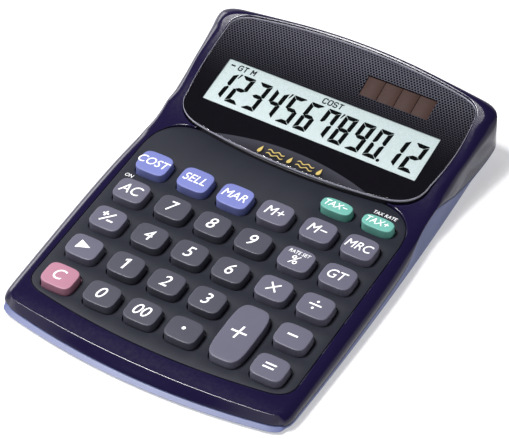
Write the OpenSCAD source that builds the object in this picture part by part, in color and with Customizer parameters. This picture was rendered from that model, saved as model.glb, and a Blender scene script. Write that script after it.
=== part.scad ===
// Desktop calculator with a splash-proof keyboard, a tilted twelve-digit display and two-way power.
// Frame: +X right, +Y towards the display, +Z up, origin on the table below the middle of the body.

/* [Body] */
// Overall width of the body
body_w = 144.5; // [140:0.5:150]
// Overall length of the body
body_l = 200; // [196:0.5:204]
// How far the front corners lie behind the middle of the front edge
front_sag = 8; // [6:0.5:9]
// How far the rear corners lie ahead of the middle of the rear edge
rear_sag = 7.4; // [6:0.2:8.4]
// How far each side draws in between its widest place and 97 mm away
side_bulge = 2.8; // [2:0.1:3.2]
// Size of the rounded corners in plan
corner_reach = 10; // [9:0.5:12]
// How far the upper case draws in at the waist
waist_inset = 3; // [2:0.2:3.4]
// Wall thickness of both cases
wall = 2; // [1.8:0.1:2.2]
// Height of the rubber feet below the lower case
foot_drop = 0.6; // [0.5:0.1:0.8]

/* [Keyboard] */
// Tilt of the keyboard plane in degrees
key_tilt = 1.81; // [1.4:0.1:2.2]
// Height of the keyboard plane at the keyboard origin
key_plane_z = 9.2; // [9:0.1:9.6]
// Distance between key columns of one group
col_pitch = 20.38; // [20.2:0.02:20.6]
// Distance between neighbouring key groups
group_pitch = 21.4; // [21.3:0.02:21.5]
// Distance between key rows
row_pitch = 18.65; // [18.5:0.05:18.8]
// Width of a key cap
key_w = 15.2; // [14.6:0.1:15.4]
// Depth of a key cap
key_d = 12.2; // [11.8:0.1:12.4]
// Height of the key tops above the panel
key_rise = 3.9; // [3.5:0.1:4.2]
// Distance a key travels when pressed
key_travel = 1.2; // [1:0.1:1.2]
// Gap between a key and its hole in the panel
key_gap = 0.6; // [0.5:0.05:0.7]

/* [Display] */
// Width of the visible part of the liquid crystal display
lcd_view_w = 108.8; // [106:0.2:110]
// Height of the visible part of the liquid crystal display
lcd_view_h = 24.6; // [23:0.2:25.4]
// Tilt of the display in degrees
lcd_tilt = 9.9; // [9.4:0.1:10.4]
// Thickness of the display window
window_t = 1.1; // [1:0.05:1.2]
// Width of the solar cell's opening
solar_w = 34.8; // [32:0.2:36]
// Height of the solar cell's opening
solar_h = 10.8; // [10:0.2:11.4]

/* [Hidden] */

// ---- colours ----
navy = [0.11, 0.09, 0.28];
periwinkle = [0.53, 0.58, 0.80];
panel_grey = [0.19, 0.19, 0.22];
digit_grey = [0.25, 0.25, 0.29];
function_grey = [0.42, 0.41, 0.48];
lavender = [0.50, 0.52, 0.84];
pink = [0.76, 0.56, 0.65];
teal = [0.48, 0.76, 0.72];
gloss_black = [0.05, 0.05, 0.06];
lcd_green = [0.82, 0.88, 0.87];
solar_brown = [0.23, 0.13, 0.10];
board_green = [0.12, 0.33, 0.20];
metal = [0.75, 0.75, 0.77];
rubber_black = [0.08, 0.08, 0.08];
mat_grey = [0.75, 0.76, 0.74];

// ---- heights along the body, each a function of y ----
keyboard_y = -30;
key_slope = tan(key_tilt);
function smooth(t) = let (c = min(1, max(0, t))) c * c * (3 - 2 * c);
function keyboard_z(y) = key_plane_z + key_slope * (y - keyboard_y);
// The display window is flat in front and curls up towards the rear.
window_slope = 0.164;
window_curl = 0.003;
function window_z(y) = 20.3 + window_slope * (y - 65) + window_curl * pow(max(0, y - 55), 2);
// The case follows the keyboard plane, dips at its front edge, then sweeps up beside the window.
front_dip = 0.9;
function case_z(y) =
    (1 - smooth((y - 12) / 48)) * keyboard_z(y)
    + smooth((y - 12) / 48) * (window_z(y) - 0.6)
    - front_dip * smooth((-84 - y) / 14)
    + 0.9 * smooth((y - 60) / 35);
// The joint between the cases is low, and rises to the finger grip at the waist.
grip_y = 37;
function parting_z(y) = 3.4 + 1.9 * smooth((y + 70) / 75) - 2.1 * smooth((y - 45) / 30)
    + 6.4 * exp(-pow((y - grip_y) / 18, 2)) + 0.0049 * pow(max(0, y - 52), 2);
function waist(y) = waist_inset * exp(-pow((y - 29) / 16, 2));

// ---- outlines in plan, as the right half from front to rear ----
function front_y(x, sag) = -body_l / 2 + sag * pow(2 * x / body_w, 2);
rear_in = 0.9;
function rear_y(x) = body_l / 2 - rear_in - rear_sag * pow(2 * x / body_w, 2);
function side_x(y) = body_w / 2 - side_bulge * pow((y + 24) / 97, 2);
function bend(p, c, q, n) = [for (i = [1:n - 1]) let (t = i / n)
    (1 - t) * (1 - t) * p + 2 * t * (1 - t) * c + t * t * q];
// Half an outline between a front curve, a side curve and a rear curve, with a bend at each corner.
function half_outline(front, side, rear, x_front, y_front, y_rear, x_rear, n_end, n_bend, n_side) =
    let (fc = [side(y_front), front(side(y_front))], rc = [side(y_rear), rear(side(y_rear))])
    concat(
        [for (i = [0:n_end]) let (x = x_front * (i + 0.5) / (n_end + 0.5)) [x, front(x)]],
        bend([x_front, front(x_front)], fc, [side(y_front), y_front], n_bend),
        [for (i = [0:n_side]) let (y = y_front + (y_rear - y_front) * i / n_side) [side(y), y]],
        bend([side(y_rear), y_rear], rc, [x_rear, rear(x_rear)], n_bend),
        [for (i = [n_end:-1:0]) let (x = x_rear * (i + 0.5) / (n_end + 0.5)) [x, rear(x)]]);
function closed(half) = concat(half, [for (i = [len(half) - 1:-1:0]) [-half[i].x, half[i].y]]);
function outward(half, i) =
    let (a = i == 0 ? [-half[0].x, half[0].y] : half[i - 1],
         b = i == len(half) - 1 ? [-half[i].x, half[i].y] : half[i + 1],
         t = (b - a) / norm(b - a)) [t.y, -t.x];
function inset_half(half, d) = [for (i = [0:len(half) - 1]) half[i] - d * outward(half, i)];

// An outline of the body: the front is shared, and the sides and rear differ with height.
function body_outline(side, rear, y_rear, x_rear) = half_outline(function (x) front_y(x, front_sag),
    side, rear, body_w / 2 - corner_reach, -body_l / 2 + front_sag + corner_reach - 2,
    y_rear, x_rear, 4, 5, 20);
// The foot of the body.
body_half = body_outline(function (y) side_x(y), function (x) rear_y(x), 84.6, 58);
// The joint between the cases, where the display housing flares out.
wing_half = body_outline(function (y) side_x(y) + 4.4 * smooth((y - 58) / 36),
    function (x) rear_y(x) + 0.2 + 1.6 * smooth((x - 40) / 32), 86.5, 64);
// The top of the upper case.
brow_half = body_outline(
    function (y) side_x(y) + 2.4 * smooth((y - 48) / 20) - 1.2 * smooth((y - 76) / 16),
    function (x) rear_y(x), 82.5, 58);
function between(a, b, t) = [for (i = [0:len(a) - 1]) a[i] + (b[i] - a[i]) * t];

panel_half_w = 65.3;
// The case reaches this far under the panel's edge.
ledge_in = 1.2;
panel_half = half_outline(function (x) -85.9 + 3.9 * pow(x / 52, 2), function (y) panel_half_w,
    function (x) 33.5 - 1.6 * pow(x / 52, 2), 56, -72.5, 12, 47, 4, 6, 2);

window_half = half_outline(function (x) 27.9 + 3.9 * pow(x / 46.8, 2),
    function (y) 64.4 - 2.4 * pow((y - 70.5) / 24.4, 2),
    function (x) 96.8 - 2.9 * pow(x / 44, 2), 48, 46.5, 83.5, 53, 6, 6, 8);

// ---- lofted case bodies ----
// One ring of the case: an outline set in by d at height h, a function of the point and of its y.
function ring(outline, d, h) = let (pts = [for (i = [0:len(outline) - 1])
        let (p = outline[i] - d(body_half[i]) * outward(body_half, i)) [p.x, p.y, h(p.y)]])
    concat(pts, [for (i = [len(pts) - 1:-1:0]) [-pts[i].x, pts[i].y, pts[i].z]]);
module loft(rings) {
    n = len(rings[0]);
    k = len(rings) - 1;
    polyhedron(points = [for (r = rings) each r], convexity = 6, faces = concat(
        [for (j = [0:k - 1]) for (i = [0:n - 1]) let (a = j * n + i, b = j * n + (i + 1) % n)
            each [[a, b + n, b], [a, a + n, b + n]]],
        [for (i = [0:n / 2 - 2]) each [[i, i + 1, n - 2 - i], [i, n - 2 - i, n - 1 - i]]],
        [for (i = [0:n / 2 - 2]) each [[k * n + i, k * n + n - 2 - i, k * n + i + 1],
            [k * n + i, k * n + n - 1 - i, k * n + n - 2 - i]]]));
}
// The front face leans back, so the joint and the crease above it are set in there.
function frontness(p) = smooth((-84 - p.y) / 8);
function rearness(p) = smooth((p.y - 82) / 9);
chin = 1.2;
function joint_inset(p) = waist(p.y) + 1.9 * frontness(p);
shoulder_in = 5.2;
shoulder_drop = 4.6;
function shoulder_inset(p, turn) = 0.75 * waist(p.y) + 1.2 * frontness(p)
    + (shoulder_in - 1.6 * frontness(p) - 2.8 * rearness(p)) * (1 - cos(turn));
function shoulder_z(y, turn) = case_z(y) - (1 - sin(turn))
    * min(shoulder_drop - 2 * smooth((y - 82) / 9), max(1.2, case_z(y) - parting_z(y) - 1.2));

module upper_outside() {
    loft(concat([ring(wing_half, function (p) joint_inset(p), function (y) parting_z(y) + 0.15)],
        [for (turn = [0:22.5:90]) ring(between(wing_half, brow_half, sin(turn)),
            function (p) shoulder_inset(p, turn), function (y) shoulder_z(y, turn))]));
}
module upper_inside() {
    loft(concat([ring(wing_half, function (p) wall + joint_inset(p), function (y) parting_z(y) - 1)],
        [for (turn = [0, 45, 90]) ring(between(wing_half, brow_half, sin(turn)),
            function (p) wall + shoulder_inset(p, turn), function (y) shoulder_z(y, turn) - wall)]));
}
floor_z = foot_drop + 1.4;
module lower_outside() {
    loft([ring(body_half, function (p) 1.3 - chin * frontness(p), function (y) foot_drop),
        ring(body_half, function (p) -chin * frontness(p), function (y) foot_drop + 1),
        ring(wing_half, function (p) joint_inset(p), function (y) parting_z(y))]);
}
module lower_inside() {
    loft([ring(body_half, function (p) wall + 0.2, function (y) floor_z),
        ring(wing_half, function (p) wall + joint_inset(p), function (y) parting_z(y) + 1)]);
}

// ---- frames of the tilted parts ----
module on_keyboard() { translate([0, keyboard_y, key_plane_z]) rotate([key_tilt, 0, 0]) children(); }
// Middle of the top of the display glass.
lcd_y = 58.4;
lcd_z = 18.1;
module on_display() { translate([0, lcd_y, lcd_z]) rotate([lcd_tilt, 0, 0]) children(); }
// Middle of the solar cell, in plan.
solar_x = 26.7;
solar_y = 81.6;
solar_tilt = atan(window_slope + 2 * window_curl * (solar_y - 55));
module on_solar() {
    translate([solar_x, solar_y, window_z(solar_y) - window_t - 0.25]) rotate([solar_tilt, 0, 0]) children();
}
// An outline in plan, moved into the keyboard frame.
function to_keyboard(pts) = [for (p = pts) [p.x, (p.y - keyboard_y) / cos(key_tilt)]];
// A solid between two heights that follow functions of y.
module profile(y0, y1, low, high, n = 30) {
    ys = [for (i = [0:n]) y0 + (y1 - y0) * i / n];
    rotate([90, 0, 90]) linear_extrude(body_w + 10, center = true)
        polygon(concat([for (y = ys) [y, low(y)]], [for (i = [n:-1:0]) [ys[i], high(ys[i])]]));
}

// ---- fasteners ----
case_screw_xy = [[65, -74], [65, -18], [62.2, 84.6]];
front_post_z = 3.4;
screw_seat = foot_drop + 1.9;
case_screw_r = 1;
screw_end = 5.5;
case_head_r = 1.9;
screw_tube_r = 2;
rib_t = 1.6;
module both_sides(points) { for (p = points) for (s = [-1, 1]) translate([s * p.x, p.y]) children(); }
board_screw_xv = [[-20.38, -22.9], [20.75, -22.9], [-20.38, 14.4], [20.75, 14.4], [-41.3, 47], [20.75, 47]];
board_screw_r = 0.8;

// ---- keys ----
// Middle of each key column, and of each key row in the keyboard frame.
col_x = let (s = (3 * col_pitch + 2 * group_pitch) / 2)
    [-s, -s + group_pitch, -s + group_pitch + col_pitch, -s + group_pitch + 2 * col_pitch,
     s - col_pitch, s];
row0_v = -42.2;
function row_v(r) = row0_v + r * row_pitch;
tall_w = 15.8;
tall_d = key_d + row_pitch + 0.4;
tax_w = 14.7;
tax_d = 6.9;
tax_v = 48.3;
// Width of the flange under a key and thickness of its wall.
lip = 1.2;
skirt = 1.25;
panel_t = 1.6;
flange_top = -panel_t - 0.05;
flange_low = flange_top - 0.8;
// The switch mat and the board under it, as depths below the panel's top.
mat_top = -4.05;
mat_t = 0.5;
board_top = mat_top - mat_t - 0.05;
board_t = 1;
squareness = 4;
function superellipse(w, d, n = 24) = [for (i = [0:n - 1]) let (a = 360 * (i + 0.5) / n)
    [sign(cos(a)) * pow(abs(cos(a)), 2 / squareness) * w / 2,
     sign(sin(a)) * pow(abs(sin(a)), 2 / squareness) * d / 2]];
// Every key as [column x, row v, width, depth].
key_places = concat(
    [for (c = [0:5]) for (r = [0:4]) if (!(c == 4 && r < 2)) [col_x[c], row_v(r), key_w, key_d]],
    [[col_x[4], (row_v(0) + row_v(1)) / 2, tall_w, tall_d],
     [col_x[4], tax_v, tax_w, tax_d], [col_x[5], tax_v, tax_w, tax_d]]);
function dome_r(k) = min(3.4, k[3] / 2 - skirt - 0.4);

module key(x, v, w, d) {
    on_keyboard() translate([x, v, 0]) {
        difference() {
            union() {
                translate([0, 0, flange_low]) linear_extrude(key_rise - 0.4 - flange_low)
                    polygon(superellipse(w, d));
                translate([0, 0, key_rise - 0.41]) linear_extrude(0.41)
                    polygon(superellipse(w - 0.8, d - 0.8));
                translate([0, 0, flange_low]) linear_extrude(flange_top - flange_low)
                    polygon(superellipse(w + 2 * lip, d + 2 * lip));
            }
            translate([0, 0, flange_low - 1]) linear_extrude(key_rise - 1.2 - flange_low + 1)
                polygon(superellipse(w - 2 * skirt, d - 2 * skirt));
        }
        translate([0, 0, -1]) cylinder(h = key_rise, r = min(1.8, d / 2 - skirt - 0.6), $fn = 24);
    }
}
module grid_key(c, r) { key(col_x[c], row_v(r), key_w, key_d); }

// ---- cases ----
module lower_case() {
    color(periwinkle) difference() {
        union() {
            difference() {
                lower_outside();
                lower_inside();
            }
            both_sides(case_screw_xy) translate([0, 0, floor_z - 0.2])
                cylinder(h = front_post_z - floor_z + 0.2, r = case_head_r + 0.55, $fn = 32);
        }
        both_sides(case_screw_xy) {
            translate([0, 0, -1]) cylinder(h = 10, r = case_screw_r + 0.15, $fn = 32);
            translate([0, 0, -1]) cylinder(h = screw_seat + 1, r = case_head_r + 0.1, $fn = 32);
        }
        both_sides(foot_xy) translate([0, 0, foot_drop - 1])
            cylinder(h = 1.5, r = foot_r + 0.1, $fn = 32);
        translate([0, label_y, foot_drop]) cube([label_w + 0.3, label_d + 0.3, 0.5], center = true);
    }
}

module upper_case() {
    color(navy) difference() {
        union() {
            difference() {
                upper_outside();
                upper_inside();
                on_keyboard() translate([0, 0, -panel_t - 0.05]) linear_extrude(40)
                    polygon(to_keyboard(closed(inset_half(panel_half, -0.12))));
                on_keyboard() translate([0, 0, -20]) linear_extrude(40)
                    polygon(to_keyboard(closed(inset_half(panel_half, ledge_in))));
                linear_extrude(60) polygon(closed(inset_half(window_half, -0.12)));
            }
            // A ledge under the key panel, and tubes for the case screws.
            on_keyboard() translate([0, 0, -panel_t - 1]) linear_extrude(0.95) difference() {
                polygon(to_keyboard(closed(inset_half(panel_half, -1.6))));
                polygon(to_keyboard(closed(inset_half(panel_half, ledge_in))));
                translate([-50, 50]) square([100, 30]);
            }
            for (p = case_screw_xy) both_sides([p]) translate([0, 0, front_post_z + 0.05])
                cylinder(h = screw_tube_top(p.y) - front_post_z, r = screw_tube_r, $fn = 32);
            intersection() {
                upper_outside();
                for (side = [0, 1]) mirror([side, 0, 0]) rear_screw_rib(case_screw_xy[2]);
            }
        }
        both_sides(case_screw_xy)
            cylinder(h = screw_end + 0.15, r = case_screw_r + 0.02, $fn = 32);
    }
}
// The front tubes end under the key panel, and the rear ones under the bezel.
function screw_tube_top(y) = y > 60 ? bezel_low(y - screw_tube_r) - 0.3 : keyboard_z(y) - panel_t - 0.15;
// A rib that holds a rear tube to the side wall.
module rear_screw_rib(p) {
    translate([p.x + case_screw_r + 0.3, p.y - rib_t / 2, front_post_z + 1])
        cube([8, rib_t, screw_tube_top(p.y) - front_post_z - 1]);
}

// The solid more than a distance inside the wall, between two heights relative to the joint.
module gasket_body(in, low, high) {
    loft([ring(wing_half, function (p) wall + in + joint_inset(p), function (y) parting_z(y) + low),
        ring(wing_half, function (p) wall + in + joint_inset(p), function (y) parting_z(y) + high)]);
}
module case_gasket() {
    color(rubber_black) difference() {
        gasket_body(1.1, -0.8, -0.2);
        gasket_body(1.8, -1, 0);
    }
}

module key_panel() {
    color(panel_grey) on_keyboard() difference() {
        union() {
            translate([0, 0, -panel_t]) linear_extrude(panel_t)
                polygon(to_keyboard(closed(panel_half)));
            for (p = board_screw_xv) translate([p.x, p.y, board_top + 0.05])
                cylinder(h = -board_top - 0.1 - panel_t / 2, r = 1.1, $fn = 24);
        }
        for (k = key_places) translate([k[0], k[1], -10]) linear_extrude(20)
            polygon(superellipse(k[2] + 2 * key_gap, k[3] + 2 * key_gap));
        for (p = board_screw_xv) translate([p.x, p.y, -12])
            cylinder(h = 11.2, r = board_screw_r + 0.02, $fn = 24);
    }
}

// ---- display ----
function bezel_low(y) = max(keyboard_z(y) + 0.1, window_z(y) - 5.5);
module display_bezel() {
    color(gloss_black) intersection() {
        difference() {
            linear_extrude(60) polygon(closed(inset_half(window_half, 0.05)));
            linear_extrude(60) polygon(closed(inset_half(window_half, 2.6)));
        }
        profile(20, 110, function (y) bezel_low(y), function (y) window_z(y) - window_t - 0.12);
    }
}
module display_window() {
    color(gloss_black) intersection() {
        linear_extrude(60) polygon(closed(window_half));
        profile(20, 110, function (y) window_z(y) - window_t, function (y) window_z(y));
    }
}
module window_seal() {
    color(rubber_black) intersection() {
        difference() {
            linear_extrude(60) polygon(closed(inset_half(window_half, 0.4)));
            linear_extrude(60) polygon(closed(inset_half(window_half, 2.2)));
        }
        profile(20, 110, function (y) window_z(y) - window_t - 0.11,
            function (y) window_z(y) - window_t - 0.01);
    }
}
lcd_w = 112;
lcd_h = 30;
lcd_t = 1.5;
module lcd_slab(w, h, top, t) { on_display() translate([-w / 2, -h / 2, top - t]) cube([w, h, t]); }
module lcd_glass() { color(lcd_green) lcd_slab(lcd_w, lcd_h, 0, lcd_t); }
module lcd_reflector() { color(metal) lcd_slab(lcd_w - 3, lcd_h - 4, -lcd_t - 0.02, 0.2); }
module lcd_holder() {
    color(gloss_black) difference() {
        lcd_slab(lcd_w + 3.4, lcd_h + 3.4, -0.1, 4.4);
        lcd_slab(lcd_w + 0.2, lcd_h + 0.2, 1, 1 + lcd_t + 0.35);
        lcd_slab(lcd_w - 4, lcd_h - 6, 1, 8);
        on_display() translate([-zebra_w / 2 - 0.2, -lcd_h / 2 - 0.1, -6]) cube([zebra_w + 0.4, 3.1, 7]);
    }
}
zebra_w = 106;
module zebra_strip() {
    color(rubber_black) on_display() translate([-zebra_w / 2, -lcd_h / 2 + 0.2, -4.5])
        cube([zebra_w, 1.6, 2.95]);
}
module display_board() { color(board_green) lcd_slab(lcd_w + 3, lcd_h + 3, -4.55, 1); }
module display_ribbon() {
    color([0.70, 0.45, 0.20]) rotate([90, 0, 90]) linear_extrude(26, center = true)
        polygon([[20, 4.86], [30, 5.2], [47, 9.2], [49, 10.85], [49.25, 10.85], [47.2, 9],
            [30.1, 4.95], [20, 4.61]]);
}
module solar_cell() {
    color(solar_brown) on_solar() translate([-solar_w / 2 - 1, -solar_h / 2 - 1, -1])
        cube([solar_w + 2, solar_h + 2, 1]);
}
module solar_backing() {
    color(mat_grey) on_solar() translate([-solar_w / 2 - 0.5, -solar_h / 2 - 0.5, -2.55])
        cube([solar_w + 1, solar_h + 1, 1.5]);
}

// ---- electronics ----
board_v = [-46.5, 54];
module board_plate(half_w, v0, v1, top, t) {
    translate([-half_w, v0, top - t]) cube([2 * half_w, v1 - v0, t]);
}
module main_board() {
    color(board_green) on_keyboard() difference() {
        board_plate(61, board_v[0], board_v[1], board_top, board_t);
        for (p = board_screw_xv) translate([p.x, p.y, -12])
            cylinder(h = 12, r = board_screw_r + 0.1, $fn = 24);
    }
}
module controller_chip() {
    color(rubber_black) on_keyboard() translate([-30, 40, board_top - board_t]) {
        translate([0, 0, -0.82]) cylinder(h = 0.8, r = 7, $fn = 48);
        translate([0, 0, -1.25]) cylinder(h = 0.5, r = 5.6, $fn = 48);
    }
}
module dome_mat() {
    color(mat_grey) on_keyboard() difference() {
        union() {
            board_plate(61, board_v[0], board_v[1], mat_top, mat_t);
            for (k = key_places) translate([k[0], k[1], mat_top - 0.1])
                cylinder(h = -mat_top - 2.35 + 0.1, r1 = dome_r(k), r2 = dome_r(k) * 0.62, $fn = 24);
        }
        for (p = board_screw_xv) translate([p.x, p.y, -12]) cylinder(h = 12, r = 1.3, $fn = 24);
        for (k = key_places) translate([k[0], k[1], mat_top - mat_t - 1])
            cylinder(h = 2.4, r = dome_r(k) * 0.5, $fn = 24);
    }
}
module board_screws() {
    color(metal) on_keyboard() for (p = board_screw_xv) translate([p.x, p.y, 0]) {
        translate([0, 0, board_top - board_t - 0.02]) cylinder(h = 4.6, r = board_screw_r, $fn = 24);
        translate([0, 0, board_top - board_t - 0.42]) cylinder(h = 0.4, r = 1.5, $fn = 24);
    }
}
module case_screws() {
    color(metal) both_sides(case_screw_xy) difference() {
        union() {
            translate([0, 0, screw_seat - 0.1])
                cylinder(h = screw_end - screw_seat + 0.1, r = case_screw_r, $fn = 32);
            translate([0, 0, screw_seat - 1.32]) cylinder(h = 1.3, r = case_head_r, $fn = 32);
        }
        for (a = [0, 90]) rotate(a) translate([-1.3, -0.25, screw_seat - 1.4]) cube([2.6, 0.5, 0.7]);
    }
}
cell_xy = [-34, 76];
cell_r = 5.8;
module at_cell() { translate([cell_xy.x, cell_xy.y, 0]) children(); }
module battery_holder() {
    color(gloss_black) at_cell() difference() {
        translate([0, 0, floor_z + 0.03]) cylinder(h = 6, r = cell_r + 1.7, $fn = 48);
        translate([0, 0, floor_z + 0.4]) cylinder(h = 8, r = cell_r + 0.3, $fn = 48);
        translate([-2.2, 0, floor_z + 0.4]) cube([4.4, 12, 8]);
    }
}
module button_cell() {
    color(metal) at_cell() {
        translate([0, 0, floor_z + 0.95]) cylinder(h = 1, r = cell_r - 0.7, $fn = 48);
        translate([0, 0, floor_z + 1.9]) cylinder(h = 4.4, r = cell_r, $fn = 48);
    }
}
module battery_contacts() {
    color([0.80, 0.72, 0.45]) at_cell() {
        translate([-2, -3, floor_z + 0.45]) cube([4, 13, 0.3]);
        translate([-2, -4, floor_z + 6.35]) cube([4, 14, 0.3]);
        translate([-2, 10.05, floor_z + 0.1]) cube([4, 0.4, 6.55]);
    }
}

// ---- underside ----
foot_r = 4.5;
foot_xy = [[54, -80], [52, 78]];
label_y = -20;
label_w = 60;
label_d = 32;
module rubber_feet() {
    color(rubber_black) both_sides(foot_xy) cylinder(h = foot_drop + 0.48, r = foot_r, $fn = 48);
}
module rating_label() {
    color([0.80, 0.80, 0.82]) translate([0, label_y, foot_drop + 0.15])
        cube([label_w, label_d, 0.16], center = true);
}

module digit_key(c, r) { color(digit_grey) grid_key(c, r); }
module function_key(c, r) { color(function_grey) grid_key(c, r); }
module price_key(c) { color(lavender) grid_key(c, 4); }
module clear_key() { color(pink) grid_key(0, 0); }
module plus_key() { color(function_grey) key(col_x[4], (row_v(0) + row_v(1)) / 2, tall_w, tall_d); }
module tax_key(c) { color(teal) key(col_x[c], tax_v, tax_w, tax_d); }

lower_case();
upper_case();
case_gasket();
key_panel();
display_bezel();
display_window();
window_seal();
lcd_glass();
lcd_reflector();
lcd_holder();
zebra_strip();
display_board();
display_ribbon();
solar_cell();
solar_backing();
main_board();
controller_chip();
dome_mat();
board_screws();
case_screws();
battery_holder();
button_cell();
battery_contacts();
rubber_feet();
rating_label();
price_key(0);  // key_cost
price_key(1);  // key_sell
price_key(2);  // key_margin
function_key(3, 4);  // key_m_plus
function_key(4, 4);  // key_m_minus
function_key(5, 4);  // key_mrc
function_key(0, 3);  // key_ac
digit_key(1, 3);  // key_7
digit_key(2, 3);  // key_8
digit_key(3, 3);  // key_9
function_key(4, 3);  // key_percent
function_key(5, 3);  // key_gt
function_key(0, 2);  // key_sign
digit_key(1, 2);  // key_4
digit_key(2, 2);  // key_5
digit_key(3, 2);  // key_6
function_key(4, 2);  // key_multiply
function_key(5, 2);  // key_divide
function_key(0, 1);  // key_shift
digit_key(1, 1);  // key_1
digit_key(2, 1);  // key_2
digit_key(3, 1);  // key_3
plus_key();  // key_plus
function_key(5, 1);  // key_minus
clear_key();  // key_clear
digit_key(1, 0);  // key_0
digit_key(2, 0);  // key_00
digit_key(3, 0);  // key_decimal
function_key(5, 0);  // key_equals
tax_key(4);  // key_tax_minus
tax_key(5);  // key_tax_plus
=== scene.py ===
"""Looks of a desktop calculator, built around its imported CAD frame.

Lengths are in millimetres in the row frame (+X right, +Y towards the display, +Z up), and each mesh is
scaled to metres when it is made. The key frame and display frame are the tilted planes of the CAD model.
"""
import math

import bmesh
import bpy
import numpy as np
from mathutils import Matrix, Vector
from mathutils.geometry import delaunay_2d_cdt
from mathutils.kdtree import KDTree

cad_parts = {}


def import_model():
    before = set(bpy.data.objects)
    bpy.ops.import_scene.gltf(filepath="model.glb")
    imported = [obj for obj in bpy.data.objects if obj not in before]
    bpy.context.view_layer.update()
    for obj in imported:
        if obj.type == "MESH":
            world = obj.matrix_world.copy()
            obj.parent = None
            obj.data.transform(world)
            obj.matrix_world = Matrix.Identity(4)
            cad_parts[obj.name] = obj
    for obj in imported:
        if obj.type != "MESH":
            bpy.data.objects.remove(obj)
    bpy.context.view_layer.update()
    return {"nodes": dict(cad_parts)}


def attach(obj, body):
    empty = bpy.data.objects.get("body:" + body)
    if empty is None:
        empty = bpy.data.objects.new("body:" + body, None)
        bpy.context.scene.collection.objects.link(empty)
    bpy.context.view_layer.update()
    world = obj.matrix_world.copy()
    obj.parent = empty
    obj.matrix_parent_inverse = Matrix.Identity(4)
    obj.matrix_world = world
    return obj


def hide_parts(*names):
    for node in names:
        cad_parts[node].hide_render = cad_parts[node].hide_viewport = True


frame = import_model()
MM = 0.001
HOUSING = "housing"

# ---------------------------------------------------------------- the object's own dimensions
BODY_W, BODY_L = 144.5, 200.0
FRONT_SAG, REAR_SAG, SIDE_BULGE = 8.0, 7.4, 2.8
CORNER = 10.0
CHIN = 1.2
REAR_IN = 0.9
WALL = 2.0
FOOT_DROP = 0.6
KEYBOARD_Y = -30.0
KEY_PLANE_Z = 9.2
KEY_TILT = math.radians(1.81)
KEY_RISE = 3.9
KEY_GAP = 0.6
PANEL_T = 1.6
FLANGE_TOP, FLANGE_LOW = -1.65, -2.45
KEY_SKIRT, KEY_LIP = 1.25, 1.2
WINDOW_T = 1.1
LCD_Y, LCD_Z = 58.4, 18.1
LCD_TILT = math.radians(9.9)
LCD_VIEW = (108.8, 24.6)
LCD_GLASS = (112.0, 30.0, 1.5)
SOLAR_X, SOLAR_Y = 26.7, 81.6
SOLAR_SIZE = (34.8, 10.8)
WINDOW_SLOPE, WINDOW_CURL, CURL_FROM = 0.164, 0.003, 55
LENS_Y, LENS_SAG, LENS_HALF = 37.6, 7.2, 43


def clamp(t):
    return min(1.0, max(0.0, t))


def smooth(t):
    t = clamp(t)
    return t * t * (3 - 2 * t)


def lerp(a, b, t):
    return a + (b - a) * t


def flat(x, y):
    return 0.0


def keyboard_z(y):
    return KEY_PLANE_Z + math.tan(KEY_TILT) * (y - KEYBOARD_Y)


def window_z(y):
    """The display window is flat in front and curls up towards the rear."""
    return 20.3 + WINDOW_SLOPE * (y - 65) + WINDOW_CURL * max(0.0, y - CURL_FROM) ** 2


def case_z(y):
    """Top of the upper case: it follows the keyboard, then sweeps up beside the window."""
    rise = smooth((y - 12) / 48)
    return ((1 - rise) * keyboard_z(y) + rise * (window_z(y) - 0.6)
            - 0.9 * smooth((-84 - y) / 14) + 0.9 * smooth((y - 60) / 35))


def parting_z(y):
    """The joint between the cases, which rises to a finger grip at the waist."""
    return (3.4 - 0.7 * smooth((-80 - y) / 10) + 1.9 * smooth((y + 70) / 75) - 2.1 * smooth((y - 45) / 30)
            + 6.4 * math.exp(-((y - 37) / 18) ** 2) + 0.0049 * max(0.0, y - 52) ** 2)


def waist(y):
    return 3.0 * math.exp(-((y - 29) / 16) ** 2)


# ---------------------------------------------------------------- outlines in plan
def half_outline(front, side, rear, x_front, y_front, y_rear, x_rear):
    """Right half of an outline, from front centre to rear centre, as a dense line of points."""
    def corner(p, c, q, n=40):
        return [tuple((1 - t) ** 2 * p[k] + 2 * t * (1 - t) * c[k] + t * t * q[k] for k in (0, 1))
                for t in (i / n for i in range(1, n))]
    fc = (side(y_front), front(side(y_front)))
    rc = (side(y_rear), rear(side(y_rear)))
    line = [(x, front(x)) for x in np.linspace(0, x_front, 60)]
    line += corner((x_front, front(x_front)), fc, (side(y_front), y_front))
    line += [(side(y), y) for y in np.linspace(y_front, y_rear, 120)]
    line += corner((side(y_rear), y_rear), rc, (x_rear, rear(x_rear)))
    line += [(x, rear(x)) for x in np.linspace(x_rear, 0, 60)]
    return np.array(line, float)


def running_total(steps):
    return np.concatenate([[0], np.cumsum(steps)])


def step_lengths(line):
    return np.linalg.norm(np.diff(line, axis=0), axis=1)


def along(line, s, t):
    """Points of a line at t, where s says how far along it each of its own points is."""
    return np.stack([np.interp(t, s, line[:, k]) for k in (0, 1)], axis=1)


def resample(line, step):
    """The same open line with even steps."""
    s = running_total(step_lengths(line))
    return along(line, s, np.linspace(0, s[-1], max(2, int(round(s[-1] / step)) + 1)))


def closed(half):
    """A whole outline, counter-clockwise from above, from its right half."""
    mirrored = half[1:-1][::-1] * np.array([-1.0, 1.0])
    return np.concatenate([half, mirrored])


def normals(loop):
    """Outward unit normals of a closed counter-clockwise loop."""
    t = np.roll(loop, -1, axis=0) - np.roll(loop, 1, axis=0)
    t /= np.linalg.norm(t, axis=1)[:, None]
    return np.stack([t[:, 1], -t[:, 0]], axis=1)


def inset(loop, d):
    return loop - d * normals(loop)


def front_edge(x):
    return -BODY_L / 2 + FRONT_SAG * (2 * x / BODY_W) ** 2


def rear_edge(x):
    return BODY_L / 2 - REAR_IN - REAR_SAG * (2 * x / BODY_W) ** 2


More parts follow.
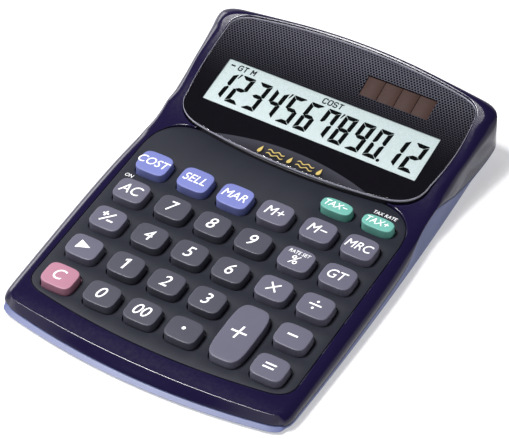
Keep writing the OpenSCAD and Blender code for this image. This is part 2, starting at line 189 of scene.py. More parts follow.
def side_edge(y):
    return BODY_W / 2 - SIDE_BULGE * ((y + 24) / 97) ** 2


def window_front(x):
    return 27.9 + 3.9 * (x / 46.8) ** 2


def window_rear(x):
    return 96.8 - 2.9 * (x / 44) ** 2


def body_outline(side, rear, y_rear, x_rear):
    """An outline of the body: the front is shared, and the sides and rear differ with height."""
    return half_outline(front_edge, side, rear, BODY_W / 2 - CORNER, -BODY_L / 2 + FRONT_SAG + CORNER - 2,
                        y_rear, x_rear)


# The foot of the body, the joint between the cases, where the display housing flares out, and its top.
BODY_HALF = body_outline(side_edge, rear_edge, 84.6, 58)
WING_HALF = body_outline(lambda y: side_edge(y) + 4.4 * smooth((y - 58) / 36),
                         lambda x: rear_edge(x) + 0.2 + 1.6 * smooth((x - 40) / 32), 86.5, 64)
BROW_HALF = body_outline(lambda y: side_edge(y) + 2.4 * smooth((y - 48) / 20) - 1.2 * smooth((y - 76) / 16),
                         rear_edge, 82.5, 58)
PANEL_HALF = half_outline(lambda x: -85.9 + 3.9 * (x / 52) ** 2, lambda y: 65.3,
                          lambda x: 33.5 - 1.6 * (x / 52) ** 2, 56, -72.5, 12, 47)
WINDOW_HALF = half_outline(window_front, lambda y: 64.4 - 2.4 * ((y - 70.5) / 24.4) ** 2,
                           window_rear, 48, 46.5, 83.5, 53)


def superellipse(w, d, n=64, power=4.0):
    a = 2 * math.pi * (np.arange(n) + 0.5) / n
    c, s = np.cos(a), np.sin(a)
    return np.stack([np.sign(c) * np.abs(c) ** (2 / power) * w / 2,
                     np.sign(s) * np.abs(s) ** (2 / power) * d / 2], axis=1)


def rounded_box(x0, y0, x1, y1, r, n=6):
    """A rectangle with round corners, counter-clockwise."""
    pts = []
    for cx, cy, a0 in ((x1 - r, y0 + r, -90), (x1 - r, y1 - r, 0), (x0 + r, y1 - r, 90),
                       (x0 + r, y0 + r, 180)):
        for i in range(n + 1):
            a = math.radians(a0 + 90 * i / n)
            pts.append((cx + r * math.cos(a), cy + r * math.sin(a)))
    return np.array(pts)


def circle(cx, cy, r, n=48):
    a = 2 * math.pi * np.arange(n) / n
    return np.stack([cx + r * np.cos(a), cy + r * np.sin(a)], axis=1)


# ---------------------------------------------------------------- mesh building
def inside(points, loops):
    """True for each point inside an odd number of the loops."""
    crossings = np.zeros(len(points), int)
    px, py = points[:, 0:1], points[:, 1:2]
    for loop in loops:
        a, b = loop, np.roll(loop, -1, axis=0)
        dy = b[:, 1] - a[:, 1]
        dy[dy == 0] = 1e-12
        spans = (a[:, 1] > py) != (b[:, 1] > py)
        x = a[:, 0] + (py - a[:, 1]) * (b[:, 0] - a[:, 0]) / dy
        crossings += (spans & (px < x)).sum(axis=1)
    return crossings % 2 == 1


class Shape:
    """Vertices in millimetres and faces, collected until they become one mesh."""

    def __init__(self):
        self.verts, self.faces = [], []

    def ring(self, loop, z):
        """Adds a closed loop of plan points at height z: a number, a list, or a function of x and y."""
        start = len(self.verts)
        for k, (x, y) in enumerate(loop):
            height = z(x, y) if callable(z) else z[k] if isinstance(z, list) else z
            self.verts.append((float(x), float(y), float(height)))
        return list(range(start, len(self.verts)))

    def skin(self, rings, around=False):
        """Joins rings of equal length, one to the next, and the last to the first if around."""
        pairs = list(zip(rings, rings[1:])) + ([(rings[-1], rings[0])] if around else [])
        for a, b in pairs:
            n = len(a)
            self.faces += [(a[i], a[(i + 1) % n], b[(i + 1) % n], b[i]) for i in range(n)]

    def cap(self, ring, centre):
        """Closes a ring with a fan to a centre point."""
        self.verts.append(centre)
        c, n = len(self.verts) - 1, len(ring)
        self.faces += [(ring[i], ring[(i + 1) % n], c) for i in range(n)]

    def fill(self, loops, z, step=0.0, lines=()):
        """Covers the area inside the first loop and outside the others, at height z. Step sets a
        grid of points in between, and lines are open lines that edges follow."""
        pts, edges = [], []
        for loop in loops:
            base, n = len(pts), len(loop)
            pts += [tuple(p) for p in loop]
            edges += [(base + i, base + (i + 1) % n) for i in range(n)]
        for line in lines:
            base, n = len(pts), len(line)
            pts += [tuple(p) for p in line]
            edges += [(base + i, base + i + 1) for i in range(n - 1)]
        if step:
            tree = KDTree(len(pts))
            for i, p in enumerate(pts):
                tree.insert((p[0], p[1], 0), i)
            tree.balance()
            lo, hi = loops[0].min(0), loops[0].max(0)
            grid = np.array([(x + (0.5 * step if row % 2 else 0), y)
                             for row, y in enumerate(np.arange(lo[1], hi[1], step * 0.87))
                             for x in np.arange(lo[0], hi[0], step)])
            grid = grid[inside(grid, loops)]
            pts += [tuple(p) for p in grid if tree.find((p[0], p[1], 0))[2] > 0.55 * step]
        found = delaunay_2d_cdt([Vector(p) for p in pts], edges, [], 0, 1e-7)
        flat = np.array([tuple(v) for v in found[0]])
        tris = np.array([tuple(f) for f in found[2]])
        keep = inside(flat[tris].mean(axis=1), loops)
        start = len(self.verts)
        self.verts += [(float(x), float(y), float(z(x, y) if callable(z) else z)) for x, y in flat]
        self.faces += [tuple(int(i) + start for i in t) for t in tris[keep]]

    def object(self, name, material, slot, body=HOUSING, replaces=(), matrix=None, sharp=50):
        """Makes the piece, welded and with clean normals, riding on its body."""
        mesh = bpy.data.meshes.new(name)
        mesh.from_pydata(self.verts, [], self.faces)
        bm = bmesh.new()
        bm.from_mesh(mesh)
        bmesh.ops.remove_doubles(bm, verts=bm.verts, dist=0.002)
        loose = [v for v in bm.verts if not v.link_faces]
        bmesh.ops.delete(bm, geom=loose, context="VERTS")
        bmesh.ops.recalc_face_normals(bm, faces=bm.faces)
        for f in bm.faces:
            f.smooth = True
        for e in bm.edges:
            e.smooth = e.calc_face_angle(0) < math.radians(sharp)
        bm.to_mesh(mesh)
        bm.free()
        mesh.transform(Matrix.Scale(MM, 4) @ (matrix or Matrix.Identity(4)))
        return place(name, mesh, material, body, replaces)


def place(name, mesh, material, body=HOUSING, replaces=()):
    """Puts a finished mesh into the scene as a piece of the object."""
    mesh.materials.clear()
    mesh.materials.append(material)
    obj = bpy.data.objects.new(name, mesh)
    bpy.context.scene.collection.objects.link(obj)
    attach(obj, body)
    if replaces:
        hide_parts(*replaces)
    return obj


def plate(loops, top, bottom, edge, hole_edge, step=0.0, lines=()):
    """A plate between two heights, with rounded edges of the given radii and any holes."""
    s = Shape()
    turns = [math.radians(a) for a in (0, 30, 60, 90)]
    outer, tops = [], []
    for k, loop in enumerate(loops):
        r = edge if k == 0 else hole_edge
        sign = 1 if k == 0 else -1
        rings = [s.ring(inset(loop, sign * r * (1 - math.sin(a))),
                        lambda x, y, a=a: top(x, y) - r * (1 - math.cos(a))) for a in turns]
        rings.append(s.ring(loop, bottom))
        s.skin(rings)
        tops.append(inset(loop, sign * r))
        outer.append(loop)
    s.fill(tops, top, step, lines)
    s.fill(outer, bottom, step)
    return s


KEY_FRAME = Matrix.Translation((0, KEYBOARD_Y, KEY_PLANE_Z)) @ Matrix.Rotation(KEY_TILT, 4, "X")
LCD_FRAME = Matrix.Translation((0, LCD_Y, LCD_Z)) @ Matrix.Rotation(LCD_TILT, 4, "X")
SOLAR_TILT = math.atan(WINDOW_SLOPE + 2 * WINDOW_CURL * (SOLAR_Y - CURL_FROM))
SOLAR_FRAME = (Matrix.Translation((SOLAR_X, SOLAR_Y, window_z(SOLAR_Y) - WINDOW_T - 0.25))
               @ Matrix.Rotation(SOLAR_TILT, 4, "X"))


def to_key_frame(loop):
    """Plan points as points of the keyboard plane."""
    return np.stack([loop[:, 0], (loop[:, 1] - KEYBOARD_Y) / math.cos(KEY_TILT)], axis=1)


# ---------------------------------------------------------------- materials
def srgb(code):
    """Linear colour of a hex colour."""
    v = [int(code[i:i + 2], 16) / 255 for i in (0, 2, 4)]
    return [c / 12.92 if c <= 0.04045 else ((c + 0.055) / 1.055) ** 2.4 for c in v] + [1.0]


class Nodes:
    """A material's node tree, with short calls for the nodes used here."""

    def __init__(self, name):
        self.material = bpy.data.materials.new(name)
        self.material.use_nodes = True
        self.tree = self.material.node_tree
        self.shader = self.tree.nodes["Principled BSDF"]
        self.where = self.add("ShaderNodeTexCoord").outputs["Object"]

    def add(self, kind, **settings):
        node = self.tree.nodes.new(kind)
        for key, value in settings.items():
            setattr(node, key, value)
        return node

    def link(self, source, target):
        self.tree.links.new(source, target)

    def noise(self, scale, detail=2.0, stretch=(1, 1, 1)):
        """Noise with about scale features a metre."""
        mapping = self.add("ShaderNodeMapping")
        mapping.inputs["Scale"].default_value = stretch
        self.link(self.where, mapping.inputs["Vector"])
        node = self.add("ShaderNodeTexNoise")
        node.inputs["Scale"].default_value = scale
        node.inputs["Detail"].default_value = detail
        self.link(mapping.outputs["Vector"], node.inputs["Vector"])
        return node.outputs["Fac"]

    def ranged(self, value, low, high, to_low, to_high):
        node = self.add("ShaderNodeMapRange")
        for key, number in zip(("From Min", "From Max", "To Min", "To Max"), (low, high, to_low, to_high)):
            node.inputs[key].default_value = number
        self.link(value, node.inputs["Value"])
        return node.outputs["Result"]

    def mixed(self, factor, a, b):
        """Mix of two colours, each a list or a socket."""
        node = self.add("ShaderNodeMix", data_type="RGBA")
        self.link(factor, node.inputs["Factor"])
        for socket, colour in ((node.inputs["A"], a), (node.inputs["B"], b)):
            if isinstance(colour, (list, tuple)):
                socket.default_value = colour
            else:
                self.link(colour, socket)
        return node.outputs["Result"]

    def maths(self, operation, a, b=0.0):
        node = self.add("ShaderNodeMath", operation=operation)
        for socket, value in ((node.inputs[0], a), (node.inputs[1], b)):
            if isinstance(value, (int, float)):
                socket.default_value = value
            else:
                self.link(value, socket)
        return node.outputs[0]

    def split(self):
        """The place's X, Y and Z, in metres."""
        node = self.add("ShaderNodeSeparateXYZ")
        self.link(self.where, node.inputs[0])
        return node.outputs

    def surface(self, colour, scale, low, high, specular):
        """Sets the colour, a roughness that varies between low and high, and the specular level."""
        self.link(colour, self.shader.inputs["Base Color"])
        self.link(self.ranged(self.noise(scale), 0.3, 0.7, low, high), self.shader.inputs["Roughness"])
        self.shader.inputs["Specular IOR Level"].default_value = specular
        return self.material

    def bump(self, height, strength, depth):
        node = self.add("ShaderNodeBump")
        node.inputs["Strength"].default_value = strength
        node.inputs["Distance"].default_value = depth * MM
        self.link(height, node.inputs["Height"])
        self.link(node.outputs["Normal"], self.shader.inputs["Normal"])


def shade(colour, factor):
    return [c * factor for c in colour[:3]] + [1.0]


def plastic(name, code, rough=0.4, coat=0.0, tone=0.05, grain=0.3, grain_size=0.25, depth=0.012,
            rough_swing=0.05, specular=0.3, metal=0.0):
    """Moulded plastic or metal: slight cloudiness, a fine moulded grain and uneven gloss."""
    n = Nodes(name)
    base = srgb(code)
    cloud = n.ranged(n.noise(60, 3.0), 0.3, 0.7, 0.0, 1.0)
    n.link(n.mixed(cloud, shade(base, 1 - tone), shade(base, 1 + tone)), n.shader.inputs["Base Color"])
    fine = n.noise(1000 / grain_size, 2.0)
    n.link(n.ranged(fine, 0.3, 0.7, rough - rough_swing, rough + rough_swing), n.shader.inputs["Roughness"])
    if grain:
        n.bump(fine, grain, depth)
    n.shader.inputs["Coat Weight"].default_value = coat
    n.shader.inputs["Coat Roughness"].default_value = 0.06
    n.shader.inputs["Specular IOR Level"].default_value = specular
    n.shader.inputs["Metallic"].default_value = metal
    return n.material


def print_material():
    """Black print under the window, with a staggered mesh that fades out towards the front, and a painted
    reflection: the lens-shaped zone at the front is painted lighter.
    """
    n = Nodes("black_window_print_painted_reflection")
    split = n.split()
    pitch_x, pitch_y = 1.5 * MM, 1.06 * MM
    row = n.maths("DIVIDE", split["Y"], pitch_y)
    shift = n.maths("MULTIPLY", n.maths("FLOORED_MODULO", n.maths("FLOOR", row), 2.0), 0.5)
    col = n.maths("ADD", n.maths("DIVIDE", split["X"], pitch_x), shift)
    dx = n.maths("SUBTRACT", n.maths("FRACT", col), 0.5)
    dy = n.maths("MULTIPLY", n.maths("SUBTRACT", n.maths("FRACT", row), 0.5), 0.8)
    far = n.maths("SQRT", n.maths("ADD", n.maths("MULTIPLY", dx, dx), n.maths("MULTIPLY", dy, dy)))
    size = n.ranged(split["Y"], 0.050, 0.096, 0.62, 0.33)
    mesh = n.ranged(n.maths("SUBTRACT", far, size), -0.05, 0.05, 0.0, 1.0)
    fade = n.ranged(split["Y"], 0.048, 0.088, 0.0, 1.0)
    # Painted reflection: the lens-shaped zone at the front is painted lighter, lightest at its rear edge, in
    # place of the sheen on the window's swelling.
    bow = n.maths("MULTIPLY", n.maths("MULTIPLY", split["X"], split["X"]), LENS_SAG / LENS_HALF ** 2 / MM)
    into = n.maths("SUBTRACT", n.maths("SUBTRACT", LENS_Y * MM, bow), split["Y"])
    lens = n.maths("MULTIPLY", n.ranged(into, 0.0, 0.0003, 0.0, 0.5), n.ranged(into, 0.0, 0.008, 1.0, 0.3))
    mesh_and_painted_reflection = n.maths("ADD", n.maths("MULTIPLY", mesh, fade), lens)
    return n.surface(n.mixed(mesh_and_painted_reflection, srgb("0B0A0F"), srgb("54545F")), 3000, 0.5, 0.6, 0.0)


def clear_material():
    """Clear hard plastic: it mirrors the same small part at every angle and lets the rest through."""
    n = Nodes("clear_window_plastic")
    output = n.tree.nodes["Material Output"]
    n.tree.nodes.remove(n.shader)
    glossy = n.add("ShaderNodeBsdfGlossy")
    n.link(n.ranged(n.noise(400), 0.3, 0.7, 0.03, 0.06), glossy.inputs["Roughness"])
    through = n.add("ShaderNodeBsdfTransparent")
    mix = n.add("ShaderNodeMixShader")
    mix.inputs[0].default_value = 0.045
    n.link(through.outputs[0], mix.inputs[1])
    n.link(glossy.outputs[0], mix.inputs[2])
    n.link(mix.outputs[0], output.inputs["Surface"])
    return n.material


def lcd_material():
    """Pale grey-green liquid crystal glass with a faint vertical brushing of the reflector."""
    n = Nodes("lcd_glass_pale_green")
    base = srgb("B2BFC0")
    brushed = n.ranged(n.noise(500, 3.0, (6, 1, 1)), 0.3, 0.7, 0.0, 1.0)
    return n.surface(n.mixed(brushed, shade(base, 0.95), shade(base, 1.04)), 900, 0.22, 0.32, 0.3)


def solar_material():
    """Amorphous silicon: dark brown with fine lines."""
    n = Nodes("solar_brown_cell")
    line = n.maths("FRACT", n.maths("DIVIDE", n.split()["X"], 0.55 * MM))
    stripe = n.ranged(line, 0.0, 0.12, 0.0, 1.0)
    cloud = n.ranged(n.noise(80, 3.0), 0.3, 0.7, 0.0, 1.0)
    body = n.mixed(cloud, srgb("2E150C"), srgb("351A10"))
    return n.surface(n.mixed(stripe, srgb("25120C"), body), 900, 0.4, 0.5, 0.15)


def board_material():
    """Green circuit board with a faint weave and darker track areas."""
    n = Nodes("green_circuit_board")
    tracks = n.ranged(n.noise(260, 0.0, (1, 4, 1)), 0.48, 0.52, 0.0, 1.0)
    return n.surface(n.mixed(tracks, srgb("1B5A37"), srgb("2A7A4A")), 2000, 0.3, 0.45, 0.5)


M = {
    "navy": plastic("navy_gloss_case", "140F2D", rough=0.17, coat=0.15, tone=0.03, grain=0.0,
                    grain_size=1.5, rough_swing=0.02, specular=0.35),
    "periwinkle": plastic("periwinkle_satin_case", "5A6289", rough=0.36, tone=0.04, grain=0.15),
    "panel": plastic("charcoal_satin_panel", "1A1C26", rough=0.55, specular=0.2, tone=0.06, grain=0.5,
                     grain_size=0.3),
    "digit": plastic("slate_digit_key", "42424D", rough=0.34, grain=0.5, grain_size=0.3),
    "function": plastic("grey_function_key", "595867", rough=0.34, tone=0.04, grain=0.5, grain_size=0.3),
    "lavender": plastic("lavender_price_key", "6970A8", rough=0.36, tone=0.04, grain=0.4, grain_size=0.3),
    "pink": plastic("pink_clear_key", "9E6E80", rough=0.36, tone=0.04, grain=0.4, grain_size=0.3),
    "teal": plastic("teal_tax_key", "629F94", rough=0.36, tone=0.04, grain=0.4, grain_size=0.3),
    "bezel": plastic("black_gloss_bezel", "1B1A20", rough=0.2, coat=0.3, grain=0.08),
    # The bright window edge is a painted highlight for the light caught by the window's edge bevel.
    "rim": plastic("painted_highlight_window_edge", "A4A4B2", rough=0.3, tone=0.04, grain=0.0),
    "legend": plastic("white_legend_ink", "F4F4F6", rough=0.5, tone=0.02, grain=0.1, grain_size=0.15),
    "gold": plastic("gold_print_ink", "CDB56A", rough=0.38, tone=0.06, grain=0.2, grain_size=0.2, metal=0.35),
    "ink": plastic("lcd_black_ink", "050607", rough=0.6, specular=0.0, grain=0.1, grain_size=0.2),
    "rubber": plastic("black_rubber", "17171A", rough=0.75, tone=0.1, grain=0.6, grain_size=0.5, depth=0.03),
    "steel": plastic("zinc_plated_steel", "BFC0C6", rough=0.3, grain=0.2, metal=1.0),
    "brass": plastic("nickel_brass_spring", "C9B98A", rough=0.3, grain=0.2, metal=1.0),
    "silver": plastic("aluminium_reflector", "C9CCD0", rough=0.35, tone=0.04, grain=0.2, metal=0.8),
    "mat": plastic("translucent_silicone_mat", "C2C4BE", rough=0.6, grain=0.4),
    "foam": plastic("grey_foam_pad", "8A8B8E", rough=0.9, tone=0.12, grain=1.0, grain_size=0.8, depth=0.08),
    "resin": plastic("black_chip_resin", "101012", rough=0.35, tone=0.08, grain_size=1.5, depth=0.03),
    "ribbon": plastic("amber_ribbon_film", "B9793A", rough=0.3, tone=0.08, grain=0.2),
    "label": plastic("silver_label_film", "C9C9CE", rough=0.38, tone=0.03, grain=0.2, metal=0.3),
    "label_ink": plastic("grey_label_ink", "6F7078", rough=0.5, grain=0.1),
    "inner": plastic("black_inner_frame", "1C1C1F", rough=0.5, tone=0.08, grain=0.4),
    "print": print_material(),
    "clear": clear_material(),
    "lcd": lcd_material(),
    "solar": solar_material(),
    "board": board_material(),
}
NODE_MATERIALS = {
    "case_gasket": "rubber", "window_seal": "rubber", "lcd_reflector": "silver", "lcd_holder": "inner",
    "zebra_strip": "rubber", "display_board": "board", "display_ribbon": "ribbon", "solar_backing": "foam",
    "main_board": "board", "controller_chip": "resin", "dome_mat": "mat", "board_screws": "steel",
    "case_screws": "steel", "battery_holder": "inner", "button_cell": "steel", "battery_contacts": "brass",
}
for node, key in NODE_MATERIALS.items():
    for k in range(len(frame["nodes"][node].material_slots)):
        frame["nodes"][node].material_slots[k].material = M[key]


# ---------------------------------------------------------------- the two cases
def matched_outlines():
    """Points of the opening's edge, and the body outline's points that face them, with even steps."""
    panel, window = resample(PANEL_HALF, 0.25), resample(WINDOW_HALF, 0.25)
    # The opening follows the panel until it meets the window's outline, and then the window.
    rear_part = panel[:, 1] > 0
    front_part = window[:, 1] < 60
    gap = np.linalg.norm(panel[rear_part][:, None] - window[front_part][None], axis=2)
    side_gap = gap + 1e3 * (panel[rear_part][:, None, 0] < 30)
    i, j = np.unravel_index(np.argmin(side_gap), gap.shape)
    i += np.argmax(rear_part)
    opening = np.concatenate([panel[:i], window[j:]])
    body = BODY_HALF
    body_s = running_total(step_lengths(body))
    nearest = np.array([np.argmin(((body - p) ** 2).sum(axis=1)) for p in opening])
    facing = np.maximum.accumulate(body_s[nearest])
    width = 81
    padded = np.concatenate([2 * facing[0] - facing[width // 2:0:-1], facing,
                             2 * facing[-1] - facing[-2:-2 - width // 2:-1]])
    facing = np.convolve(padded, np.ones(width) / width, mode="valid")
    metric = running_total(np.maximum(step_lengths(opening), np.diff(facing) * 1.1))
    t = np.linspace(0, metric[-1], int(metric[-1] / 0.9))
    edge = along(opening, metric, t)
    s = np.interp(t, metric, facing)
    bodies = [along(half, body_s, s) for half in (BODY_HALF, WING_HALF, BROW_HALF)]
    for line in bodies + [edge]:
        line[0, 0] = line[-1, 0] = 0.0
    return [closed(line) for line in bodies + [edge]]


OUTER, JOINT, BROW, OPENING = matched_outlines()
OUTER_N = normals(OUTER)
FRONTNESS = np.array([smooth((-n[1] - 0.55) / 0.3) for n in OUTER_N])
GRIP = np.array([waist(p[1]) for p in OUTER])
JOINT_INSET = GRIP + 1.2 * FRONTNESS
REARNESS = np.array([smooth((p[1] - 82) / 9) for p in OUTER])


def moved_in(outline, d):
    """One of the body's outlines moved in by d, one number per point."""
    return outline - np.asarray(d)[:, None] * OUTER_N


def shoulder(t):
    """Inset and height of the upper case's outside at t, from the joint's edge (0) to its top (1)."""
    turn = t * math.pi / 2
    reach = 5.2 - 2.8 * REARNESS
    side = 0.75 * GRIP + reach * (1 - math.cos(turn))
    crease = 0.74
    ridge = np.array([5.6 - 2.4 * min(1, abs(x) / 66) ** 2 for x in OUTER[:, 0]])
    front = (lerp(1.2, ridge, t / crease) if t < crease
             else lerp(ridge, ridge + 2.1, (t - crease) / (1 - crease)))
    d = lerp(side, front, FRONTNESS)
    loop = moved_in(lerp(JOINT, BROW, math.sin(turn)), d)
    heights = []
    for k, (x, y) in enumerate(loop):
        top, low = case_z(y), parting_z(y)
        drop = min(4.6 - 2 * REARNESS[k], max(1.2, top - low - 1.2))
        side_z = top - (1 - math.sin(turn)) * drop
        rise = clamp(t / crease)
        front_z = lerp(low + 0.4, top, rise ** 0.9 if rise < 1 else 1.0)
        heights.append(lerp(side_z, front_z, FRONTNESS[k]))
    return loop, heights


def upper_case():
    s = Shape()
    rings = []
    for d, lift in ((WALL, 0.2), (0.35, 0.2), (0.1, 0.28), (0.0, 0.45)):
        loop = moved_in(JOINT, JOINT_INSET + d)
        rings.append(s.ring(loop, lambda x, y: parting_z(y) + lift))
    for t in (0.0, 0.08, 0.16, 0.24, 0.32, 0.4, 0.48, 0.56, 0.64, 0.69, 0.715, 0.74, 0.765, 0.79, 0.85,
              0.92, 1.0):
        rings.append(s.ring(*shoulder(t)))
    top, _ = shoulder(1.0)
    gap, r = 0.14, 0.35
    lip = inset(OPENING, -gap - r)
    for t in (0.04, 0.1, 0.2, 0.35, 0.5, 0.65, 0.8, 0.9, 0.96, 1.0):
        loop = top + (lip - top) * t
        rings.append(s.ring(loop, lambda x, y: case_z(y)))
    for a in (30, 60, 90):
        a = math.radians(a)
        loop = inset(OPENING, -gap - r * (1 - math.sin(a)))
        rings.append(s.ring(loop, lambda x, y: case_z(y) - r * (1 - math.cos(a))))
    for loop in (inset(OPENING, -gap), top - 0.3 * OUTER_N):
        rings.append(s.ring(loop, lambda x, y: case_z(y) - WALL))
    inner = moved_in(JOINT, JOINT_INSET + WALL)
    rings.append(s.ring(inner, lambda x, y: min(parting_z(y) + 1.6, case_z(y) - WALL)))
    s.skin(rings, around=True)
    return s.object("upper_case_shell", M["navy"], "upper_case", replaces=["upper_case"], sharp=55)


FEET = [(sx * x, y) for x, y in ((54, -80), (52, 78)) for sx in (1, -1)]
SCREWS = [(sx * x, y) for x, y in ((65, -74), (65, -18), (62.2, 84.6)) for sx in (1, -1)]
LABEL = (0.0, -20.0, 60.0, 32.0)


def lower_case():
    s = Shape()
    rings = []
    under, chin = 1.5, -CHIN * FRONTNESS
    for a in (0, 15, 30, 45, 60, 75, 90):
        a = math.radians(a)
        d = chin + under * (1 - math.sin(a))
        rings.append(s.ring(moved_in(OUTER, d), FOOT_DROP + 1.2 * (1 - math.cos(a))))
    for t in (0.2, 0.4, 0.6, 0.8, 1.0):
        loop = moved_in(lerp(OUTER, JOINT, t), chin * (1 - t) + JOINT_INSET * t)
        rings.append(s.ring(loop, lambda x, y: lerp(FOOT_DROP + 1.2, parting_z(y) - 0.4, t)))
    for d, drop in ((0.1, 0.22), (0.35, 0.15), (WALL, 0.15)):
        loop = moved_in(JOINT, JOINT_INSET + d)
        rings.append(s.ring(loop, lambda x, y: parting_z(y) - drop))
    base = moved_in(OUTER, chin + WALL + 0.7)
    rings.append(s.ring(base, FOOT_DROP + 1.4))
    s.skin(rings)
    s.fill([base], FOOT_DROP + 1.4)
    bottom = moved_in(OUTER, chin + under)
    x, y, w, d = LABEL
    pockets = [(circle(*p, 4.65), 0.45) for p in FEET] + [(circle(*p, 2.05, 32), 1.3) for p in SCREWS]
    w, d = w / 2 + 0.15, d / 2 + 0.15
    pockets.append((rounded_box(x - w, y - d, x + w, y + d, 2), 0.25))
    for loop, depth in pockets:
        walls = [s.ring(loop, FOOT_DROP), s.ring(loop, FOOT_DROP + depth)]
        s.skin(walls)
        s.cap(walls[1], (float(loop[:, 0].mean()), float(loop[:, 1].mean()), FOOT_DROP + depth))
    s.fill([bottom] + [p[0] for p in pockets], FOOT_DROP)
    return s.object("lower_case_tray", M["periwinkle"], "lower_case", replaces=["lower_case"], sharp=55)


upper_case()
lower_case()

# ---------------------------------------------------------------- the keyboard
COLUMN = 20.38
GROUP = 21.4
HALF_SPAN = (3 * COLUMN + 2 * GROUP) / 2
COLUMNS = [-HALF_SPAN, -HALF_SPAN + GROUP, -HALF_SPAN + GROUP + COLUMN, -HALF_SPAN + GROUP + 2 * COLUMN,
           HALF_SPAN - COLUMN, HALF_SPAN]
ROW_0, ROW = -42.2, 18.65
KEY_W, KEY_D = 15.2, 12.2
TALL = (15.8, KEY_D + ROW + 0.4)
TAX = (14.7, 6.9)
TAX_V = 48.3
CROWN = 0.16


def numbers(*legends):
    """The digit keys of a row, in columns 1 to 3."""
    return [(c, "decimal" if text == "." else text, text, "digit") for c, text in enumerate(legends, 1)]


# Each row of the keyboard from the front: column, name, legend and colour.
GRID = [
    [(0, "clear", "C", "pink"), *numbers("0", "00", "."), (5, "equals", "=", "function")],
    [(0, "shift", "arrow", "function"), *numbers("1", "2", "3"), (5, "minus", "-", "function")],
    [(0, "sign", "sign", "function"), *numbers("4", "5", "6"), (4, "multiply", "x", "function"),
     (5, "divide", "div", "function")],
    [(0, "ac", "AC", "function"), *numbers("7", "8", "9"), (4, "percent", "%", "function"),
     (5, "gt", "GT", "function")],
    [(0, "cost", "COST", "lavender"), (1, "sell", "SELL", "lavender"), (2, "margin", "MAR", "lavender"),
     (3, "m_plus", "M+", "function"), (4, "m_minus", "M-", "function"), (5, "mrc", "MRC", "function")],
]
KEYS = [dict(name=f"key_{name}", x=COLUMNS[c], v=ROW_0 + r * ROW, w=KEY_W, d=KEY_D, legend=legend, look=look)
        for r, row in enumerate(GRID) for c, name, legend, look in row]
KEYS += [dict(name=f"key_{name}", x=COLUMNS[c], v=v, w=size[0], d=size[1], legend=legend, look=look)
         for c, name, v, size, legend, look in ((4, "plus", ROW_0 + ROW / 2, TALL, "+", "function"),
                                                (4, "tax_minus", TAX_V, TAX, "TAX-", "teal"),
                                                (5, "tax_plus", TAX_V, TAX, "TAX+", "teal"))]


def crown(key, x, v):
    """Height of a key's gently domed top, in the key frame, x and v measured from its middle."""
    return KEY_RISE - CROWN * (4 * (x / key["w"]) ** 2 + 4 * (v / key["d"]) ** 2) / 2


def squareness(key):
    return 4.0 if key["d"] > 10 else 3.2


def on_key(key):
    return KEY_FRAME @ Matrix.Translation((key["x"], key["v"], 0))


def key_cap(key):
    """One hollow key: dome post, skirt with its flange, drafted wall, crisp edge and domed top."""
    s = Shape()
    w, d, draft, r = key["w"], key["d"], 0.2, 0.32
    stem = 2 * min(1.8, d / 2 - KEY_SKIRT - 0.6)
    ceiling = KEY_RISE - 1.2
    power = squareness(key)

    def ring(grow, z):
        return s.ring(superellipse(w + grow, d + grow, 72, power), z)

    def post(z):
        return s.ring(superellipse(stem, stem, 72, 2.0), z)

    first = post(-1.0)
    s.cap(first, (0.0, 0.0, -1.0))
    rings = [first, post(ceiling), ring(-2 * KEY_SKIRT, ceiling), ring(-2 * KEY_SKIRT, FLANGE_LOW),
             ring(2 * KEY_LIP, FLANGE_LOW), ring(2 * KEY_LIP, FLANGE_TOP), ring(2 * draft, FLANGE_TOP)]
    for t in (0.3, 0.6, 0.85, 1.0):
        rings.append(ring(2 * draft * (1 - t), lerp(FLANGE_TOP, KEY_RISE - r - 0.12, t)))
    for a in (22.5, 45, 67.5, 90):
        a = math.radians(a)
        grow = -2 * r * (1 - math.cos(a))
        rings.append(ring(grow, lambda x, v, a=a: crown(key, x, v) - r * (1 - math.sin(a))))
    base = superellipse(w - 2 * r, d - 2 * r, 72, power)
    for t in (0.9, 0.75, 0.55, 0.35, 0.15):
        rings.append(s.ring(base * t, lambda x, v: crown(key, x, v)))
    s.skin(rings)
    s.cap(rings[-1], (0.0, 0.0, KEY_RISE))
    return s.object(f"{key['name']}_cap", M[key["look"]], f"key_{key['look']}", body=key["name"],
                    replaces=[key["name"]], matrix=on_key(key), sharp=62)


def key_panel():
    loops = [to_key_frame(inset(closed(resample(PANEL_HALF, 1.0)), 0.1))]
    for key in KEYS:
        hole = superellipse(key["w"] + 2 * KEY_GAP, key["d"] + 2 * KEY_GAP, 64, squareness(key))
        loops.append(hole + np.array([key["x"], key["v"]]))
    s = plate(loops, flat, -PANEL_T, 0.3, 0.3)
    return s.object("key_panel_plate", M["panel"], "key_panel", replaces=["key_panel"], matrix=KEY_FRAME)


key_panel()
for key in KEYS:
    key_cap(key)


# ---------------------------------------------------------------- lettering and signs
INK_T = 0.05


def extruded(polygons, height, thickness=INK_T):
    """A thin solid over each polygon: its top is height plus thickness."""
    s = Shape()
    for poly in polygons:
        poly = np.array(poly, float)
        low = s.ring(poly, lambda x, y: height(x, y) - 0.02)
        top = s.ring(poly, lambda x, y: height(x, y) + thickness)
        s.skin([low, top])
        s.fill([poly], lambda x, y: height(x, y) + thickness)
        s.fill([poly], lambda x, y: height(x, y) - 0.02)
    return s


def slanted(points, shear):
    return [(x + shear * y, y) for x, y in points]


def bar(x0, y0, x1, y1, t):
    """A straight stroke from one point to another."""
    dx, dy = x1 - x0, y1 - y0
    k = t / 2 / math.hypot(dx, dy)
    nx, ny = -dy * k, dx * k
    return [(x0 - nx, y0 - ny), (x1 - nx, y1 - ny), (x1 + nx, y1 + ny), (x0 + nx, y0 + ny)]


def dot(x, y, r):
    return [tuple(p) for p in circle(x, y, r, 20)]


